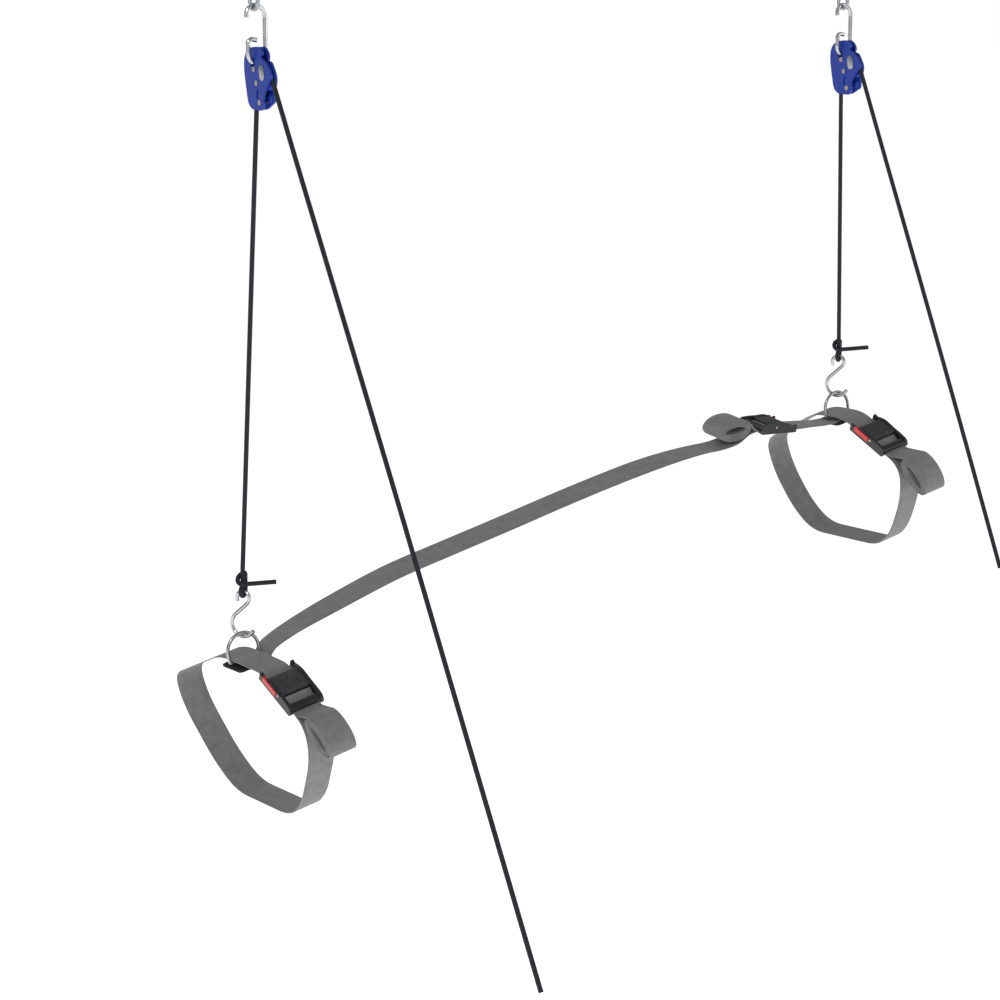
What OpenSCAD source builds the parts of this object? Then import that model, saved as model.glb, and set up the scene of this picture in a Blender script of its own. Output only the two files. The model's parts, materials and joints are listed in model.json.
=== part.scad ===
// Ceiling hoist for a kayak: two rope units hang from screw eyes and carry a webbing harness.
// The origin is the axis of the bow screw eye on the ceiling. X runs to the stern and -Y to the user.

/* [Ceiling screws] */
// Distance between the two ceiling screws
eye_span = 1285; // [1250:5:1400]
// Diameter of the screw eye's wire and shank
eye_wire = 6.5; // [6:0.25:7]
// Inner radius of the eye
eye_inner_r = 8.75; // [8.5:0.25:10]
// Height of the neck between the eye and the ceiling
eye_neck = 11; // [8:0.5:16]
// Length of the shank in the ceiling, without its tip
shank_len = 38; // [30:1:60]
// Length of the pointed tip
shank_tip = 8; // [5:0.5:12]

/* [Hanging hook] */
// Diameter of the hook's wire
hook_wire = 7.5; // [6.5:0.25:8]
// Height of the hook between the centres of its top and bottom wire
hook_h = 92.4; // [88:0.2:110]
// Bend radius from the apex to the short leg
hook_short_r = 14; // [12:0.5:16]
// Bend radius from the apex to the shank
hook_long_r = 20; // [18:0.5:21]
// Straight length of the short leg
hook_short_len = 5.5; // [3:0.5:12]
// Bend radius at the bottom
hook_low_r = 16; // [16:0.25:17.5]
// Straight length of the rising leg
hook_rise = 16; // [14:0.5:18]
// Bend radius of the curled end
hook_curl_r = 6.5; // [5:0.25:8]
// Straight length of the curled end
hook_curl_len = 8; // [4:0.5:9]

/* [Rope lock block] */
// Thickness of one cheek
cheek_t = 4; // [3.5:0.1:4.2]
// Width of the rope cavity between the cheeks
cavity_w = 9; // [8.8:0.1:9.2]
// Width of the block across its widest corner
block_w = 84; // [80:1:96]
// Height of the block
block_h = 101; // [100:1:112]
// Radius of the hole that hangs on the hook
hang_hole_r = 6.5; // [6.3:0.1:7.2]
// Radius at which the rope's middle runs round the sheave
sheave_pitch_r = 14.8; // [14:0.1:15.4]
// Diameter of the sheave's axle and of the rivets
rivet_d = 6; // [5:0.25:7]
// Depth of the ribs in the jam slot
jam_rib = 2.2; // [1.5:0.1:2.6]
// Number of ribs in the jam slot
jam_ribs = 3; // [2:1:3]

/* [Ropes] */
// Diameter of the rope
rope_d = 8; // [7.5:0.1:8.2]
// Angle of the bow pull rope from the vertical
bow_pull_angle = 28.85; // [24:0.05:32]
// Angle of the stern pull rope from the vertical
stern_pull_angle = 24.1; // [20:0.1:28]
// Length of the bow pull rope below the block
bow_pull_len = 1490; // [1200:10:1600]
// Length of the stern pull rope below the block
stern_pull_len = 970; // [800:10:1100]
// Height of the knot from its top to the S-hook
bow_knot_h = 34; // [32:1:40]
// Height of the stern knot from its top to the S-hook
stern_knot_h = 34; // [32:1:40]
// Length of the knot's loose tail
tail_len = 56; // [30:2:70]

/* [S-hooks and rings] */
// Diameter of the S-hook's wire
s_wire = 7; // [6:0.25:7.5]
// Overall height of the S-hook
s_hook_h = 84; // [78:1:96]
// Bend radius at the top of the S-hook
s_top_r = 11.4; // [10.6:0.2:12]
// Bend radius at the bottom of the S-hook
s_low_r = 21; // [19:0.5:22]
// Turn of the S-hook's plane about the rope
s_turn = 30; // [20:1:36]
// Diameter of the ring's wire
ring_wire = 6; // [5:0.25:7]
// Inner width of the ring
ring_inner_w = 53; // [52.5:0.5:60]
// Height of the ring between the centres of its bar and its top
ring_h = 45; // [42:1:54]

/* [Harness] */
// Depth of the bow girth strap's top below the ceiling
bow_drop = 1092; // [1050:1:1150]
// Depth of the stern girth strap's top below the ceiling
stern_drop = 803; // [770:1:860]
// Width of the webbing
web_w = 51; // [48:0.5:52]
// Thickness of the webbing
web_t = 2.2; // [1.8:0.1:2.4]
// Half width of the bow girth
bow_girth_w = 212; // [200:2:240]
// Depth of the bow girth
bow_girth_h = 262; // [240:2:300]
// Half width of the stern girth
stern_girth_w = 188; // [180:2:220]
// Depth of the stern girth
stern_girth_h = 252; // [230:2:290]
// Twist of the deck strap between the girths
deck_twist = 15; // [0:1:18]

/* [Buckles] */
// Length of a buckle along its strap
buckle_len = 88; // [86:1:92]
// Wall thickness at the buckle's sides
buckle_wall = 6; // [5.8:0.1:7]
// Height of the buckle above its strap
buckle_top = 16; // [15:0.5:18]
// Travel of the release button
button_travel = 2; // [1:0.25:2.25]
// Diameter of the lid's pin
lid_pin_d = 5; // [4:0.25:5.25]
// Length of the release button
button_len = 38; // [34:1:42]

/* [Hidden] */
$fn = 48;

// Clearances between pieces, and one overrun for every cut
free_gap = 0.3;
pin_gap = 0.05;
turn_gap = 0.1;
cut_over = 1;

// The eye hangs under the ceiling, and the hook's apex rests on it
eye_r = eye_inner_r + eye_wire / 2;
eye_z = -eye_neck - eye_r;
apex_z = eye_z - eye_inner_r + free_gap + hook_wire / 2;
hook_low_z = apex_z - hook_h;
hook_low_x = hook_long_r - hook_low_r;
hook_curl_turn = 100;

// The block hangs on the hook's bottom wire
block_t = 2 * cheek_t + cavity_w;
block_x = hook_low_x;
hang_in_r = hook_low_r - hook_wire / 2;
hang_top = hook_low_r - sqrt(hang_in_r * hang_in_r - block_t * block_t / 4);
hang_axis_z = hook_low_z + hang_top / 2 - hook_wire / 4;
hole_z = hook_low_z + hang_top + 2 * free_gap - hang_hole_r;
sheave_drop = 32;
sheave_w = 11;
load_w = sheave_w - sheave_pitch_r;
sheave_z = hole_z - sheave_drop;
sheave_gap = 0.3;
sheave_rim = 1;

// The rope leaves the sheave, bends round the jam slot's guide and goes down to the user
leave_angle = 76;
guide_bend_r = 12;
guide_w = 46;
block_bottom_share = 0.752;
block_bottom_z = hole_z - block_bottom_share * block_h;

// Outlines of the cheeks: shares of the block's width and height from the hole, and how far
// each corner is softened, as a share of the width
front_shares = [
    [0.15, 0.257, 0.10], [-0.16, 0.23, 0.14], [-0.31, 0.10, 0.14], [-0.325, -0.10, 0.12],
    [-0.28, -0.30, 0.12], [-0.20, -0.60, 0.08], [-0.15, -0.67, 0.06], [-0.04, -0.735, 0.06],
    [0.30, -0.75, 0.05], [0.41, -0.66, 0.05], [0.36, -0.54, 0.12], [0.47, -0.39, 0.12],
    [0.685, -0.21, 0.05], [0.54, -0.03, 0.10], [0.28, 0.09, 0.04], [0.35, 0.13, 0.04],
    [0.34, 0.19, 0.04], [0.25, 0.235, 0.08]
];
rear_shares = [
    [0.15, 0.257, 0.10], [-0.16, 0.23, 0.14], [-0.31, 0.10, 0.14], [-0.325, -0.10, 0.12],
    [-0.28, -0.30, 0.12], [-0.20, -0.60, 0.08], [-0.15, -0.67, 0.06], [-0.04, -0.752, 0.06],
    [0.24, -0.735, 0.05], [0.51, -0.62, 0.03], [0.51, -0.42, 0.06], [0.585, -0.31, 0.05],
    [0.58, -0.20, 0.07], [0.42, 0.015, 0.06], [0.30, 0.03, 0.04], [0.34, 0.10, 0.05],
    [0.28, 0.19, 0.06], [0.20, 0.235, 0.08]
];
// The rim between the cheeks, and the room for the rope, which opens to the right and downwards
rim_shares = [
    [0.14, 0.252, 0.10], [-0.155, 0.225, 0.14], [-0.30, 0.10, 0.14], [-0.315, -0.10, 0.12],
    [-0.27, -0.30, 0.12], [-0.19, -0.60, 0.08], [-0.145, -0.65, 0.06], [0.19, -0.65, 0.06],
    [0.19, 0.235, 0.04]
];
room_shares = [
    [0.12, 0.205, 0.06], [-0.13, 0.183, 0.10], [-0.245, 0.08, 0.10], [-0.26, -0.10, 0.08],
    [-0.215, -0.30, 0.08], [-0.14, -0.60, 0.04], [-0.12, -0.80, 0.02], [0.9, -0.80, 0.02],
    [0.9, 0.205, 0.02]
];
// Rivets, as shares of the block's width and height from the hole
rivet_shares = [[0.04, -0.104], [0.238, -0.625]];
badge_shares = [0.335, -0.155];
recess_shares = [0.17, -0.49];
bulge_shares = [0.37, -0.56];
badge_w = 15;
badge_h = 26;
badge_t = 0.6;
recess_w = 7;
recess_h = 16;
recess_d = 1.6;
bulge_r = 7.5;
bulge_h = 3;
wall_t = 4.5;
rib_w = 1.6;
rib_pitch = 3.6;
jam_share = [0.44, -0.055];
rivet_head_d = 9;
rivet_head_t = 0.8;

// The ropes
load_top_z = block_bottom_z;
bow_lean = -40;
stern_lean = 10;
bar_depth = web_t + 3 * free_gap + ring_wire / 2;
ring_top = ring_h - bar_depth;
s_seat = s_wire / 2 + ring_wire / 2 + 3 * free_gap;
s_low_z = ring_top - s_seat;
s_top_z = s_low_z + s_hook_h - s_wire;
bow_knot_z = -bow_drop + s_top_z + s_wire / 2 + bow_knot_h;
stern_knot_z = -stern_drop + s_top_z + s_wire / 2 + stern_knot_h;
s_lean = 42;
s_tip_len = 6;
s_low_turn = 185;
tail_rise = 0.08;
wrap_angle = 204;
rope_sides = 12;
// The pull ropes' routes: distance along the rope and how far it bows out, in millimetres
bow_pull_route = [[0, 0], [150, 0], [300, 1], [500, 2], [750, 3], [1000, 2], [1250, 1], [1490, 0]];
stern_pull_route = [[0, 0], [150, 0], [300, 1], [500, 2], [700, 2], [850, 1], [970, 0]];
pull_step = 34;

// The harness stands in the hull's slope
hull_dx = eye_span + stern_lean - bow_lean;
hull_dz = bow_drop - stern_drop;
hull_tilt = atan2(hull_dz, hull_dx);
hull_span = sqrt(hull_dx * hull_dx + hull_dz * hull_dz);

// Girth sections: shares of half width and depth from the top, near side first, and the softening
// of each corner in millimetres
bow_girth_shares = [
    [-0.20, 0, 30], [0.16, 0, 24], [0.45, 0.012, 16], [0.95, 0.279, 26], [0.935, 0.50, 40],
    [0.64, 0.87, 30],
    [0.42, 1, 36], [-0.42, 1, 36], [-0.70, 0.83, 30], [-1.02, 0.50, 40], [-1.06, 0.28, 26]
];
stern_girth_shares = [
    [-0.20, 0, 26], [0.14, 0, 10], [0.27, 0.015, 14], [0.97, 0.31, 30], [0.93, 0.56, 40],
    [0.70, 0.87, 30],
    [0.50, 1, 34], [-0.50, 1, 34], [-0.75, 0.84, 30], [-0.98, 0.55, 40], [-1.03, 0.30, 26]
];
soft_steps = 6;
bend_step = 15;
wire_sides = 14;

// Deck strap: distance along the hull and height of its middle, in millimetres
strap_depth = 10.4;
deck_route = [
    [12, -strap_depth], [34, -strap_depth], [42, -3], [56, 4], [100, 14], [180, 25], [306, 38],
    [430, 41], [549, 43], [683, 46],
    [790, 47], [876, 46], [950, 42], [1010, 36], [1050, 30], [1090, 29], [1136, 38],
    [1228, 14], [1270, 4], [1310, -6], [1340, -strap_depth], [1352, -strap_depth]
];
// Share of the twist at each point of the deck strap
deck_twist_shares = [
    0, 0, 0.1, 0.2, 0.4, 0.8, 1, 1, 1, 1, 1, 1, 0.8, 0.6, 0.6, 0.6, 0.6, 0.6, 0.4, 0.2, 0, 0
];

pad_t = 5;
pad_len = 62;
pad_w = 60;
pad_soft = 8;
pad_top = strap_depth + web_t / 2 + turn_gap;

// Buckle details
buckle_w = web_w + 2 * buckle_wall + 3;
strap_room = web_t / 2 + free_gap;
floor_t = 2.4;
pin_x = 4;
pin_z = 8.2;
cam_r = 6.2;
lid_t = 3.2;
lid_gap = 0.35;
button_z = 2.6;
button_h = 10;
button_x = -19;
button_proud = 1.4;
button_depth = 4;
nose_len = 14;
window_len = 15;
ear_len = 5;
spring_wire = 1.2;
spring_r = 3.9;
spring_turns = 5;
spring_room = 14;
nose_z = 10.6;
side_z = 14.5;
ridge_d = 2.4;
lid_w = buckle_w - 2 * buckle_wall - 2 * lid_gap;
lid_cells = 9;
cell_d = 0.5;

// Rolled tails: half lengths of the oval, and the pitch of its turns
roll_start = 160;
roll_long = 40;
roll_short = 20.5;
roll_pitch = 2.8;
roll_turns = 5;

function unit_xy(p) = p / norm(p);
function side_of(d) = [-d[1], d[0]];

// A closed outline whose corners are softened: each point is [x, y, cut]
function soften(pts, n = soft_steps) = [
    for (i = [0 : len(pts) - 1])
        let (
            p = [pts[i][0], pts[i][1]],
            before = pts[(i + len(pts) - 1) % len(pts)],
            after = pts[(i + 1) % len(pts)],
            back = [before[0], before[1]] - p,
            ahead = [after[0], after[1]] - p,
            a = p + unit_xy(back) * min(pts[i][2], norm(back) * 0.49),
            b = p + unit_xy(ahead) * min(pts[i][2], norm(ahead) * 0.49)
        )
        for (k = [0 : n])
            let (s = k / n)
            a * (1 - s) * (1 - s) + p * 2 * s * (1 - s) + b * s * s
];

// A closed line moved sideways by d
function shifted(line, d) = [
    for (i = [0 : len(line) - 1])
        let (
            a = line[(i + len(line) - 1) % len(line)],
            b = line[(i + 1) % len(line)]
        )
        line[i] + side_of(unit_xy(b - a)) * d
];

// An open line moved sideways by d
function beside(line, d) = [
    for (i = [0 : len(line) - 1])
        let (
            a = line[max(i - 1, 0)],
            b = line[min(i + 1, len(line) - 1)]
        )
        line[i] + side_of(unit_xy(b - a)) * d
];

function scaled(shares, w, h, soft) = [for (p = shares) [p[0] * w, p[1] * h, p[2] * soft]];
function reversed(line) = [for (i = [len(line) - 1 : -1 : 0]) line[i]];

// Flat webbing seen from its edge, along an open line
module ribbon(line, t) {
    polygon(concat(beside(line, t / 2), reversed(beside(line, -t / 2))));
}

// Extrudes an outline drawn in [towards the user, up] along X, centred at x
module across_x(x, t) {
    translate([x + t / 2, 0, 0])
        rotate([90, 0, -90])
            linear_extrude(t) children();
}

function heading_xy(q) = [cos(q), sin(q)];

// Points along a bent wire that starts upwards: each step is [length, 0] or [radius, turn]
function bent_line(steps, p = [0, 0], q = 90, i = 0) =
    i == len(steps) ? [] :
    let (
        size = steps[i][0],
        turn = steps[i][1],
        side = turn < 0 ? -1 : 1,
        centre = p + heading_xy(q + 90 * side) * size,
        bends = ceil(abs(turn) / bend_step),
        part = turn == 0
            ? [p + heading_xy(q) * size]
            : [
                for (k = [1 : bends])
                    centre + heading_xy(q - 90 * side + turn * k / bends) * size
            ]
    )
    concat(part, bent_line(steps, part[len(part) - 1], q + turn, i + 1));

function in_3d(line) = [for (p = line) [p[0], p[1], 0]];
function heading(line, i) =
    let (v = line[min(i + 1, len(line) - 1)] - line[max(i - 1, 0)]) v / norm(v);
function squared(v, along) = let (w = v - along * (v * along)) w / norm(w);

// Sweeps a round section of so many sides along a line of points, without twisting it
module sweep(line, d, sides, start = [0, 0, 1]) {
    last = len(line) - 1;
    sideways = [
        for (
            i = 0, v = squared(start, heading(line, 0));
            i <= last;
            i = i + 1, v = squared(v, heading(line, min(i, last)))
        ) v
    ];
    tube([
        for (i = [0 : last])
            let (third = cross(heading(line, i), sideways[i]))
            [
                for (k = [0 : sides - 1])
                    let (q = 360 * k / sides)
                    line[i] + (sideways[i] * cos(q) + third * sin(q)) * d / 2
            ]
    ]);
}

// A tube through rings of points, each counted leftwards round the way that the tube goes
module tube(rings) {
    n = len(rings[0]);
    last = len(rings) - 1;
    polyhedron(
        [for (r = rings) for (p = r) p],
        concat(
            [[for (k = [0 : n - 1]) k]],
            [
                for (i = [0 : last - 1])
                    for (k = [0 : n - 1])
                        let (a = i * n + k, b = i * n + (k + 1) % n)
                        each [[a, b + n, b], [a, a + n, b + n]]
            ],
            [[for (k = [n - 1 : -1 : 0]) last * n + k]]
        )
    );
}

module screw_eye() {
    color("silver") {
        translate([0, 0, eye_z])
            rotate([0, 90, 0])
                rotate_extrude() translate([eye_r, 0]) circle(d = eye_wire);
        neck_d = eye_wire + 2;
        translate([0, 0, eye_z + eye_r]) cylinder(d = neck_d, h = eye_neck);
        cylinder(d = eye_wire, h = shank_len);
        translate([0, 0, shank_len]) cylinder(d1 = eye_wire, d2 = eye_wire / 5, h = shank_tip);
    }
}

module hanging_hook() {
    shank = hook_h - hook_long_r - hook_low_r;
    color("silver")
        translate([-hook_short_r, 0, apex_z - hook_short_r - hook_short_len])
            rotate([90, 0, 0])
                sweep(in_3d(concat([[0, 0]], bent_line([
                    [hook_short_len, 0],
                    [hook_short_r, -90],
                    [hook_long_r, -90],
                    [shank, 0],
                    [hook_low_r, -180],
                    [hook_rise, 0],
                    [hook_curl_r, -hook_curl_turn],
                    [hook_curl_len, 0]
                ]))), hook_wire, wire_sides);
}

// The place of a share of the block, in [towards the user, up]
function on_block(p) = [p[0] * block_w, p[1] * block_h];

module cheek_outline(shares) {
    translate([0, hole_z]) polygon(soften(scaled(shares, block_w, block_h, block_w)));
}

// The closed rim at the top and the left that joins the cheeks
module rim_outline() {
    difference() {
        cheek_outline(rim_shares);
        cheek_outline(room_shares);
    }
}

// An oval with round ends, standing along Y
module capsule(w, h) {
    r = w / 2;
    polygon([
        for (end = [1, -1])
            for (k = [0 : 12])
                [0, end * (h / 2 - r)] + heading_xy(15 * k + (end > 0 ? 0 : 180)) * r
    ]);
}

module hub_outline() {
    translate([0, hole_z]) circle(r = hang_hole_r + wall_t);
}

module drilled(x, t) {
    difference() {
        children();
        translate([x - t, 0, hole_z]) rotate([0, 90, 0]) cylinder(r = hang_hole_r, h = 2 * t);
        for (p = rivet_shares)
            translate([x - t, -on_block(p)[0], hole_z + on_block(p)[1]])
                rotate([0, 90, 0]) cylinder(d = rivet_d, h = 2 * t);
        translate([x - t, -sheave_w, sheave_z])
            rotate([0, 90, 0]) cylinder(d = rivet_d, h = 2 * t);
    }
}

module jam_ribs_on(x, t) {
    for (i = [0 : jam_ribs - 1])
        across_x(x, t)
            translate([0, hole_z - i * rib_pitch])
                translate(on_block(jam_share))
                    rotate(-20) square([rib_w * 4, rib_w], center = true);
}

// Lays an outline of [towards the user, up] at a share of the block, on a face at x
module on_face(x, t, p) {
    across_x(x, t) translate([0, hole_z]) translate(on_block(p)) children();
}

module front_cheek() {
    x = block_x - cavity_w / 2 - cheek_t / 2;
    inner = block_x - cavity_w / 2;
    outer = inner - cheek_t;
    color("royalblue")
        drilled(x, block_t) {
            difference() {
                across_x(x, cheek_t) cheek_outline(front_shares);
                on_face(outer, 2 * recess_d, recess_shares) rotate(-6) capsule(recess_w, recess_h);
            }
            across_x(block_x, cavity_w) rim_outline();
            across_x(block_x, cavity_w) hub_outline();
            across_x(block_x, cavity_w)
                translate(guide_centre) circle(r = guide_bend_r - rope_d / 2 - free_gap);
            jam_ribs_on(inner + jam_rib / 2, jam_rib);
            on_face(outer - badge_t / 2, badge_t, badge_shares) rotate(12) capsule(badge_w, badge_h);
        }
}

module rear_cheek() {
    x = block_x + cavity_w / 2 + cheek_t / 2;
    inner = block_x + cavity_w / 2;
    dome_r = (bulge_r * bulge_r + bulge_h * bulge_h) / 2 / bulge_h;
    color("mediumblue")
        drilled(x, block_t) {
            across_x(x, cheek_t) cheek_outline(rear_shares);
            jam_ribs_on(inner - jam_rib / 2, jam_rib);
            intersection() {
                translate([inner - bulge_h + dome_r, 0, hole_z])
                    translate([0, -on_block(bulge_shares)[0], on_block(bulge_shares)[1]])
                        sphere(r = dome_r);
                on_face(inner - bulge_h / 2, bulge_h, bulge_shares) circle(r = bulge_r + cut_over);
            }
        }
}

module rivets() {
    left = block_x - block_t / 2;
    color("darkgray") {
        for (p = concat([for (q = rivet_shares) on_block(q)], [[sheave_w, sheave_z - hole_z]]))
            translate([left, -p[0], hole_z + p[1]])
                rotate([0, 90, 0]) {
                    cylinder(d = rivet_d, h = block_t);
                    for (z = [-rivet_head_t, block_t])
                        translate([0, 0, z])
                            cylinder(d = rivet_head_d, h = rivet_head_t);
                }
    }
}

module sheave() {
    half = cavity_w / 2 - sheave_gap;
    groove_r = sheave_pitch_r;
    color("dimgray")
        translate([block_x, -sheave_w, sheave_z])
            rotate([0, 90, 0])
                rotate_extrude()
                    difference() {
                        translate([rivet_d / 2 + turn_gap, -half])
                            square([groove_r - rivet_d / 2 - turn_gap, 2 * half]);
                        translate([groove_r, 0]) circle(d = rope_d + 2 * turn_gap);
                    }
}

// The rope's bend at the guide: where its straight parts would cross, and its centre
guide_z = sheave_z + sheave_pitch_r * sin(leave_angle)
    - (guide_w - sheave_w - sheave_pitch_r * cos(leave_angle)) / tan(leave_angle);
guide_point = [guide_w, guide_z];
function guide_turn(angle) = leave_angle - angle;
function guide_cut(angle) = guide_bend_r * tan(guide_turn(angle) / 2);
leave_dir = [sin(leave_angle), -cos(leave_angle)];
leave_point = [sheave_w, sheave_z] + heading_xy(leave_angle) * sheave_pitch_r;
guide_run = norm(guide_point - leave_point);
guide_centre = guide_point - leave_dir * guide_cut(bow_pull_angle)
    + heading_xy(leave_angle - 180) * guide_bend_r;

// The rope from the block's mouth over the sheave and through the jam slot
module rope_turn(angle) {
    line = concat([[0, 0]], bent_line([
        [sheave_z - load_top_z, 0],
        [sheave_pitch_r, leave_angle - 180],
        [guide_run - guide_cut(angle), 0],
        [guide_bend_r, -guide_turn(angle)]
    ]));
    color("#14161c")
        translate([block_x, -load_w, load_top_z])
            rotate([90, 0, -90]) sweep(in_3d(line), rope_d, rope_sides);
}

// A point along the pull rope that is bowed out by b
function pull_point(angle, s, b) =
    let (
        out = [cos(angle), sin(angle)],
        along = [sin(angle), -cos(angle)],
        p = guide_point + out * b + along * (s + guide_cut(angle))
    )
    [block_x, -p[0], p[1]];

function bow_at(route, s) = lookup(s, route);

module pull_rope(angle, route, length) {
    count = round(length / pull_step);
    line = [
        for (i = [0 : count])
            let (s = length * i / count)
            pull_point(angle, s, bow_at(route, s))
    ];
    color("#14161c") sweep(line, rope_d, rope_sides - 4, [1, 0, 0]);
}

// The load rope leans to the knot, and its ends are level
module load_rope(low_x, low_z) {
    rings = [
        for (end = [[block_x, -load_w, load_top_z], [low_x, 0, low_z]])
            [
                for (k = [0 : rope_sides - 1])
                    let (q = 360 * k / rope_sides)
                    end + [cos(q), sin(q), 0] * rope_d / 2
            ]
    ];
    color("#14161c") tube(reversed(rings));
}

// The knot: down to the S-hook's wire, under it, up on the other side, and round the rope down to
// the tail. z is the middle of the S-hook's top wire
function knot_line(height) =
    let (
        loop_r = s_wire / 2 + rope_d / 2 + free_gap,
        wrap_r = rope_d + 2 * free_gap,
        wrap_low = loop_r + rope_d * 0.72,
        top = height + s_wire / 2,
        wrap_top = top - rope_d,
        loop_dir = [cos(s_turn), sin(s_turn), 0],
        up = [0, 0, 1],
        wrap_end = s_turn + wrap_angle,
        tail_start = [cos(wrap_end) * wrap_r, sin(wrap_end) * wrap_r, wrap_low],
        tail_dir = [-sin(wrap_end), cos(wrap_end), tail_rise]
    )
    concat(
        [up * top, up * (top - rope_d), up * (wrap_low + rope_d / 4)],
        [
            for (k = [1 : 4])
                up * (wrap_low - k * wrap_low / 4.6) - loop_dir * loop_r * (1 - cos(45 * k)) / 2
        ],
        [for (k = [1 : 12]) -loop_dir * loop_r * cos(15 * k) - up * loop_r * sin(15 * k)],
        [for (k = [1 : 3]) up * (wrap_top - rope_d / 2) * k / 3 + loop_dir * (loop_r + wrap_r) / 2],
        [
            for (k = [0 : 12])
                let (q = s_turn + wrap_angle * k / 12)
                [
                    cos(q) * wrap_r, sin(q) * wrap_r,
                    wrap_top + (wrap_low - wrap_top) * (1 - cos(15 * k)) / 2
                ]
        ],
        [for (k = [1 : 4]) tail_start + tail_dir * tail_len * k / 4]
    );

// The least distance between parts of a rope that are more than a turn apart along it
function self_gap(line, d) =
    let (skip = 6)
    min([
        for (i = [0 : len(line) - 1])
            for (k = [i + skip : 1 : len(line) - 1])
                norm(line[i] - line[k])
    ]) - d;

module knot(height) {
    color("#14161c") sweep(knot_line(height), rope_d, rope_sides - 4, [1, 0, 0]);
}

module s_hook() {
    down = s_top_r * (1 + sin(90 - s_lean)) + s_low_r * (1 + cos(s_lean));
    straight = (s_hook_h - s_wire - down) / sin(s_lean);
    color("silver")
        translate([0, 0, s_hook_h - s_wire - s_top_r])
            rotate([0, 0, s_turn - 90])
                rotate([90, 0, 0])
                    translate([-s_top_r, -s_tip_len])
                        sweep(in_3d(concat([[0, 0]], bent_line([
                            [s_tip_len, 0],
                            [s_top_r, -270 + s_lean],
                            [straight, 0],
                            [s_low_r, s_low_turn],
                            [s_tip_len, 0]
                        ]))), s_wire, wire_sides);
}

module quarter_bend(r, d) {
    rotate_extrude(angle = 90) translate([r, 0]) circle(d = d);
}

// A ring with a straight bar, standing in the hull's length; z is the middle of its bar
module ring() {
    half = (ring_inner_w + ring_wire) / 2;
    corner = ring_wire;
    leg = ring_h - half - corner;
    color("silver")
        rotate([90, 0, 0]) {
            translate([0, ring_h - half])
                rotate_extrude(angle = 180) translate([half, 0]) circle(d = ring_wire);
            translate([corner - half, 0, 0])
                rotate([0, 90, 0]) cylinder(d = ring_wire, h = 2 * (half - corner));
            for (side = [0, 1])
                mirror([side, 0, 0]) {
                    translate([half, corner, 0])
                        rotate([-90, 0, 0]) cylinder(d = ring_wire, h = leg);
                    translate([half - corner, corner, 0])
                        rotate([0, 0, -90]) quarter_bend(corner, ring_wire);
                }
        }
}

module in_hull() {
    translate([bow_lean, 0, -bow_drop]) rotate([0, -hull_tilt, 0]) children();
}

module girth(s, shares, w, h) {
    line = [for (p = soften(scaled(shares, w, h, 1))) [p[0], -p[1] - web_t / 2]];
    color("#7f7c80")
        in_hull()
            across_x(s, web_w)
                difference() {
                    polygon(shifted(line, web_t / 2));
                    polygon(shifted(line, -web_t / 2));
                }
}

// The deck strap is swept along its route, twisted between the girths
module deck_strap() {
    count = len(deck_route);
    rings = [
        for (i = [0 : count - 1])
            let (
                a = deck_route[max(i - 1, 0)],
                b = deck_route[min(i + 1, count - 1)],
                out = side_of(unit_xy(b - a)),
                q = deck_twist * deck_twist_shares[i],
                c = [deck_route[i][0] * hull_span / deck_span, 0, deck_route[i][1]],
                across = [0, cos(q), sin(q)],
                up = [out[0], -sin(q) * out[1], cos(q) * out[1]]
            )
            [
                for (k = [[-1, -1], [1, -1], [1, 1], [-1, 1]])
                    c + across * k[0] * web_w / 2 + up * k[1] * web_t / 2
            ]
    ];
    color("#7f7c80") in_hull() tube(rings);
}
deck_span = 1364;

module pad(s) {
    color("#1c1c1e")
        in_hull()
            translate([s, 0, -pad_top - pad_t])
                linear_extrude(pad_t)
                    polygon(soften([
                        for (k = [[-1, -1], [1, -1], [1, 1], [-1, 1]])
                            [k[0] * pad_w / 2, k[1] * pad_len / 2, pad_soft]
                    ]));
}

// Places what is drawn in a buckle's own frame: X to its nose, Z away from the hull
module at_girth_buckle(s, place) {
    in_hull()
        translate([s, -place[0], -place[1]])
            rotate([0, 0, -90]) rotate([0, place[2], 0]) children();
}
module at_deck_buckle() {
    in_hull()
        translate([deck_place[0] * hull_span / deck_span, 0, deck_place[1]])
            rotate([deck_twist * 0.6, 0, 0])
                rotate([0, 0, 180]) rotate([0, deck_place[2], 0]) children();
}

// A buckle's middle in its girth's section and its slope
function girth_place(shares, w, h, along) =
    let (
        a = [shares[2][0] * w, shares[2][1] * h],
        b = [shares[3][0] * w, shares[3][1] * h],
        p = a + unit_xy(b - a) * along
    )
    [p[0], p[1] + web_t / 2, atan2((b - a)[1], (b - a)[0])];
bow_place = girth_place(bow_girth_shares, bow_girth_w, bow_girth_h, 53);
stern_place = girth_place(stern_girth_shares, stern_girth_w, stern_girth_h, 68);
deck_place = [1182, 26, -14.6];

module buckle_side_outline() {
    x0 = -buckle_len / 2;
    x1 = buckle_len / 2;
    low = -strap_room - floor_t;
    polygon(soften([
        [x0 - ear_len, low, 1], [x1 - 3, low, 3], [x1, 1, 3], [x1, side_z - 9, 5],
        [x1 - 5, side_z - 1.5, 6], [x1 - 20, side_z, 8], [pin_x - 6, side_z, 6],
        [x0 + 24, buckle_top, 8], [x0 + 12, buckle_top - 3, 5],
        [x0, buckle_top - 8, 4], [x0 - ear_len, buckle_top - 5, 1]
    ], 4));
}

// Lays an outline of [along the strap, outwards] across the buckle
module over_strap(y, w) {
    translate([0, y + w / 2, 0]) rotate([90, 0, 0]) linear_extrude(w) children();
}

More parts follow.
